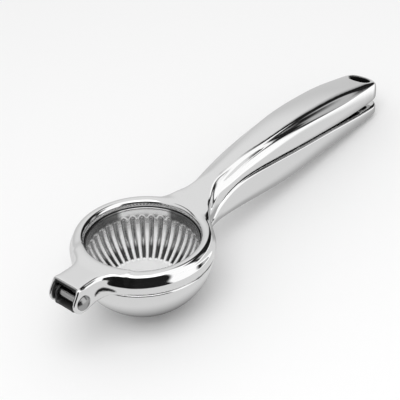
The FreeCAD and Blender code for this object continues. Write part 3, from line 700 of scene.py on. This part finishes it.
def makePressCup():
    c = cup
    cupPaint = cupShadeAndMatt
    block = Block(*boxes["cup"], grid["cup"])
    flat = np.hypot(block.x, block.y)
    radius = np.hypot(flat, block.z)
    bowlPart = np.maximum(radius - c["outside"], block.z - c["skirt"])
    bandEnds = np.maximum(block.z - c["edge"], c["skirt"] - c["bandDrop"] - block.z)
    bandPart = np.maximum(flat - c["band"], bandEnds)
    flangePart = np.maximum(flat - c["flange"], np.maximum(block.z - c["flangeTop"], c["skirt"] - block.z))
    field = np.minimum(np.minimum(bowlPart, bandPart), flangePart)
    field = np.maximum(field, c["under"] - block.z)
    ball = np.where(block.z < 0, radius, flat) - c["inside"]
    well = smoothMax(ball, c["floor"] - block.z, c["floorRound"])
    field = smoothMax(field, -well, c["edgeRound"])
    sector = 2 * math.pi / c["fluteCount"]
    angle = np.arctan2(block.y, block.x) % sector - sector / 2
    along, across = flat * np.cos(angle), flat * np.sin(angle)
    track = c["inside"] + c["fluteDepth"] - c["fluteRadius"]
    down = np.clip(np.arctan2(-block.z, along), math.radians(c["topAngle"]), math.radians(c["endAngle"]))
    flute = np.sqrt((along - track * np.cos(down)) ** 2 + (block.z + track * np.sin(down)) ** 2 + across ** 2)
    field = smoothMax(field, c["fluteRadius"] - flute, c["fluteRound"])

    def parts(points):
        # how far a point is on the inside, in the middle of a groove, and down from the rim in degrees
        x, y, z = points.T
        flat = np.hypot(x, y)
        inside = within(np.hypot(flat, np.minimum(z, 0)) - c["inside"] - c["fluteDepth"] - cupPaint["insideMargin"])
        middle = np.abs(np.arctan2(y, x) % sector - sector / 2) / (sector / 2)
        cut = np.clip((cupPaint["grooveShare"] - middle) / cupPaint["grooveSoft"], 0, 1)
        off = block.sample(flute, points) - c["fluteRadius"]
        groove = cut * np.clip((cupPaint["grooveReach"] - off) / cupPaint["grooveFade"], 0, 1)
        return inside, groove, np.degrees(np.arctan2(-z, flat))

    def inner(points):
        # painted shade: grooves darker as they go down, the plain band painted dark but for a lighter patch
        # towards the handle, a painted reflection, and a faint dark line at the rim
        inside, groove, steep = parts(points)
        x, y, z = points.T
        foot = np.clip((steep - cupPaint["footAngle"]) / cupPaint["footOver"], 0, 1)
        deep = groove * (cupPaint["grooveTop"] + (cupPaint["grooveFoot"] - cupPaint["grooveTop"]) * foot)
        turn = np.abs((np.degrees(np.arctan2(y, x)) - cupPaint["patchAngle"] + 180) % 360 - 180)
        shadedBand = 1 - np.clip((cupPaint["patchHalf"] - turn) / cupPaint["patchOver"], 0, 1)
        band = cupPaint["band"] * shadedBand * np.clip((c["topAngle"] + cupPaint["bandPast"] - steep) / cupPaint["bandOver"], 0, 1)
        wall = np.clip((z - c["floor"] - cupPaint["floorSkin"]) / cupPaint["floorOver"], 0, 1)
        rim = np.clip((z - c["edge"] + cupPaint["rimDrop"]) / cupPaint["rimOver"], 0, 1)
        return np.maximum(np.maximum(deep, band) * wall * inside, rim * cupPaint["rim"])

    def matt(points):
        # the floor, and the ridges more and more as they go down: rougher, less metallic and painted paler, a
        # painted highlight
        inside, groove, steep = parts(points)
        low = points[:, 2] < c["floor"] + cupPaint["floorMatt"]
        ridge = (1 - groove) * np.clip((steep - c["topAngle"]) / cupPaint["ridgeOver"], 0, 1)
        return inside * np.where(low, 1, ridge)
    meshOf("pressCup", block, field, grid["cupBlur"], "upper", ["press_cup"], satin,
           {"inner": inner, "matt": matt})


makeUpperLever()
makeLowerLever()
makePressCup()
print("castings made")


# the rivet, on the hinge line

rivet = {
    "shank": 2.4, "head": 3.9, "tall": 1.9, "dome": 5.8, "spigot": 1.4, "spigotLength": 1.2, "seat": 0.02,
    "edge": 0.18, "turns": 96, "sharp": 40.0,
}


def turned(name, outline, nodes):
    # a piece turned about the hinge line; outline is y and radius, from one end of the axis to the other
    count = rivet["turns"]
    angles = np.linspace(0, 2 * math.pi, count, endpoint=False)
    cx, cz = hinge["x"], hinge["z"]
    rings = [np.stack([cx + r * np.cos(angles), np.full(count, y), cz + r * np.sin(angles)], axis=1)
             for y, r in outline if r > 0]
    ends = [np.array([[cx, outline[k][0], cz]]) for k in (0, -1)]
    points = np.concatenate(rings + ends)
    faces = []
    for k in range(len(rings) - 1):
        for i in range(count):
            j = (i + 1) % count
            faces.append((k * count + i, k * count + j, (k + 1) * count + j, (k + 1) * count + i))
    first, last, top = len(points) - 2, len(points) - 1, (len(rings) - 1) * count
    for i in range(count):
        j = (i + 1) % count
        faces.append((first, j, i))
        faces.append((last, top + i, top + j))
    mesh = bpy.data.meshes.new(name)
    placed = points @ np.array(toRow.to_3x3()).T + np.array(toRow.translation)
    mesh.from_pydata(placed.tolist(), [], [face[::-1] for face in faces])
    mesh.polygons.foreach_set("use_smooth", np.ones(len(mesh.polygons), bool))
    mesh.set_sharp_from_angle(angle=math.radians(rivet["sharp"]))
    return finished(bpy.data.objects.new(name, mesh), "upper", nodes, rivetMetal)


def domePoints(base, tip, count=14):
    # y and radius from the dome's tip to its rim
    side = math.copysign(1, tip - base)
    centre = tip - side * rivet["dome"]
    widest = math.asin(rivet["head"] / rivet["dome"])
    return [(centre + side * rivet["dome"] * math.cos(a), rivet["dome"] * math.sin(a))
            for a in np.linspace(0, widest, count)]


def makeRivet():
    half, head, edge = hinge["half"], rivet["head"], rivet["edge"]
    outline = domePoints(-half, -half - rivet["tall"])
    outline += [(-half - edge, head), (-half, head - edge), (-half, rivet["shank"]), (half, rivet["shank"])]
    outline += [(half, rivet["spigot"]), (half + rivet["spigotLength"], rivet["spigot"])]
    outline += [(half + rivet["spigotLength"], 0.0)]
    turned("rivetPin", outline, ["hinge_pin"])
    bore = rivet["spigot"] + rivet["seat"]
    bottom = half + rivet["spigotLength"] + rivet["seat"]
    outline = [(bottom, 0.0), (bottom, bore), (half, bore), (half, head - edge), (half + edge, head)]
    outline += domePoints(half, half + rivet["tall"])[::-1]
    turned("rivetCap", outline, ["pin_cap"])


makeRivet()
print("rivet made")


# floor, backdrop, lamp, world and camera

studio = {
    "floorShade": 0.93, "floorRough": 0.8, "floorInner": 0.32, "floorOuter": 0.5, "world": 0.8,
    "backdrop": (0.947, 0.956, 0.93), "lowBase": 0.62, "base": 0.8, "baseLow": 8.0, "baseHigh": 40.0,
    "bright": 1.12, "front": 1.6, "dark": 0.012, "pane": 0.5, "soft": 4.0,
    "mirrorNear": 0.72, "mirrorFar": 1.15, "nearLine": 0.118, "farLine": 0.14, "slant": 0.75,
    "mirrorInner": 0.2, "mirrorOuter": 0.25, "contact": 0.86, "contactInner": 0.013, "contactOuter": 0.047,
    "under": 0.45, "underInner": 0.009, "underOuter": 0.026, "underStart": -0.05,
    "lamp": {"place": (-0.3, -0.22, 0.85), "size": 0.6, "watts": 2.7},
}
# what the polished metal mirrors: each card is its first and last direction round the tool and its lowest and
# highest height, in degrees
cards = {
    "brightSide": (-150.0, -14.0, -20.0, 78.0),
    "frontSky": (-176.0, -95.0, 34.0, 80.0),
    "cameraSide": (-176.0, -97.0, -26.0, 34.0),
    "handleSide": (-52.0, -10.0, -22.0, 44.0),
    "greyPane": (-41.5, -30.0, -16.0, 20.0),
    "endSide": (-13.0, 17.0, -25.0, 58.0),
    "farSide": (104.0, 120.0, 22.0, 58.0),
}
view = {
    "azimuth": 47.6, "elevation": 34.1, "roll": -1.8, "distance": 600.0, "offX": 28.8, "offY": 21.8,
    "scale": 1.986, "frame": 400.0, "sensor": 36.0, "clip": 0.05,
}
standing = Vector((rest["x"], rest["y"], 0)) / 1000  # where the bowl touches the ground


def makeFloor():
    mesh = bpy.data.meshes.new("floor")
    reach = studio["floorOuter"]
    corners = [(-reach, -reach, 0), (reach, -reach, 0), (reach, reach, 0), (-reach, reach, 0)]
    mesh.from_pydata(corners, [], [(0, 1, 2, 3)])
    floor = bpy.data.objects.new("floor", mesh)
    bpy.context.scene.collection.objects.link(floor)
    material = bpy.data.materials.new("floorPaper")
    material.use_nodes = True
    tree = material.node_tree
    shader = tree.nodes["Principled BSDF"]
    shader.inputs["Base Color"].default_value = grey(studio["floorShade"])
    shader.inputs["Roughness"].default_value = studio["floorRough"]
    shader.inputs["Specular IOR Level"].default_value = 0.0
    start = Wire(tree)
    place = start.node("ShaderNodeTexCoord", {}, {}, "Object")
    away = start.node("ShaderNodeVectorMath", {"operation": "LENGTH"}, {0: place}, "Value")
    clear = start.node("ShaderNodeBsdfTransparent", {}, {})
    # painted reflection: glossy rays see a glowing floor, brighter further out, with painted shadow where the
    # bowl stands and along under the handle
    parts = start.node("ShaderNodeSeparateXYZ", {}, {0: place})
    line = parts.other("X") * studio["slant"] - parts.other("Y")
    spot = start.node("ShaderNodeVectorMath", {"operation": "DISTANCE"}, {0: place, 1: tuple(standing)}, "Value")
    gain = studio["mirrorFar"] - studio["mirrorNear"]
    shade = studio["mirrorNear"] + gain * line.fade(studio["nearLine"], studio["farLine"])
    shade = shade * (1 - studio["contact"] * (1 - spot.fade(studio["contactInner"], studio["contactOuter"])))
    beside = start.math("ABSOLUTE", parts.other("Y"), 0.0).fade(studio["underInner"], studio["underOuter"])
    shade = shade * (1 - studio["under"] * (1 - beside) * parts.other("X").fade(studio["underStart"], 0.0))
    glow = start.node("ShaderNodeEmission", {}, {"Color": joinGrey(start, shade)})
    glossy = start.node("ShaderNodeLightPath", {}, {}).other("Is Glossy Ray")
    paperAndGlow = start.node("ShaderNodeMixShader", {}, {0: glossy, 1: Wire(tree, shader.outputs[0]), 2: glow})
    ends = start.math("MAXIMUM", away.fade(studio["floorInner"], studio["floorOuter"]),
                      away.fade(studio["mirrorInner"], studio["mirrorOuter"]) * glossy)
    faded = start.node("ShaderNodeMixShader", {}, {0: ends, 1: paperAndGlow, 2: clear})
    tree.links.new(faded.socket, tree.nodes["Material Output"].inputs["Surface"])
    mesh.materials.append(material)


def makeWorld():
    world = bpy.data.worlds.new("studio")
    bpy.context.scene.world = world
    world.use_nodes = True
    tree = world.node_tree
    start = Wire(tree)
    way = start.node("ShaderNodeTexCoord", {}, {}, "Generated")
    parts = start.node("ShaderNodeSeparateXYZ", {}, {0: way})
    around = start.math("ARCTAN2", parts.other("Y"), parts.other("X")) * math.degrees(1)
    height = start.math("ARCSINE", parts.other("Z"), 0.0) * math.degrees(1)

    def card(name):
        left, right, low, high = cards[name]
        return around.between(left, right, studio["soft"]) * height.between(low, high, studio["soft"])
    rise = height.fade(studio["baseLow"], studio["baseHigh"])
    light = studio["lowBase"] + (studio["base"] - studio["lowBase"]) * rise
    for name, level in (("brightSide", studio["bright"]), ("frontSky", studio["front"])):
        light = light + card(name) * (level - light)
    for name in ("cameraSide", "handleSide", "endSide", "farSide"):
        light = light * (1 - card(name) * (1 - studio["dark"]))
    light = light + card("greyPane") * (studio["pane"] - light)
    ray = start.node("ShaderNodeLightPath", {}, {})
    seen = ray.other("Is Camera Ray")
    mirrored = start.math("MAXIMUM", ray.other("Is Glossy Ray"), ray.other("Is Transmission Ray"))
    lit = mirrored.mixGrey(studio["world"], light)
    colour = start.node("ShaderNodeMix", {"data_type": "RGBA"},
                        {0: seen, 6: lit, 7: studio["backdrop"] + (1.0,)}, 2)
    background = tree.nodes["Background"]
    tree.links.new(colour.socket, background.inputs["Color"])
    background.inputs["Strength"].default_value = 1.0


def makeLamp():
    look = studio["lamp"]
    data = bpy.data.lights.new("keyLamp", "AREA")
    data.energy, data.size = look["watts"], look["size"]
    lamp = bpy.data.objects.new("keyLamp", data)
    lamp.location = look["place"]
    lamp.rotation_euler = (-Vector(look["place"])).to_track_quat("-Z", "Y").to_euler()
    lamp.visible_glossy = False
    bpy.context.scene.collection.objects.link(lamp)


def makeCamera():
    t, e, roll = [math.radians(view[key]) for key in ("azimuth", "elevation", "roll")]
    back = Vector((-math.sin(t) * math.cos(e), -math.cos(t) * math.cos(e), math.sin(e)))
    right = Vector((math.cos(t), -math.sin(t), 0))
    up = Vector((math.sin(t) * math.sin(e), math.cos(t) * math.sin(e), math.cos(e)))
    right, up = right * math.cos(roll) + up * math.sin(roll), up * math.cos(roll) - right * math.sin(roll)
    place = back * view["distance"] + right * view["offX"] + up * view["offY"]
    turn = toRow.to_3x3().normalized() @ Matrix((right, up, back)).transposed()
    camera = bpy.data.objects.new("camera", bpy.data.cameras.new("camera"))
    camera.matrix_world = Matrix.Translation(toRow @ place) @ turn.to_4x4()
    camera.data.sensor_width = view["sensor"]
    camera.data.lens = view["scale"] * view["distance"] * view["sensor"] / view["frame"]
    camera.data.clip_start = view["clip"]
    bpy.context.scene.collection.objects.link(camera)
    bpy.context.scene.camera = camera


makeFloor()
makeWorld()
makeLamp()
makeCamera()
bpy.context.scene.view_settings.view_transform = "Standard"
print("studio made")
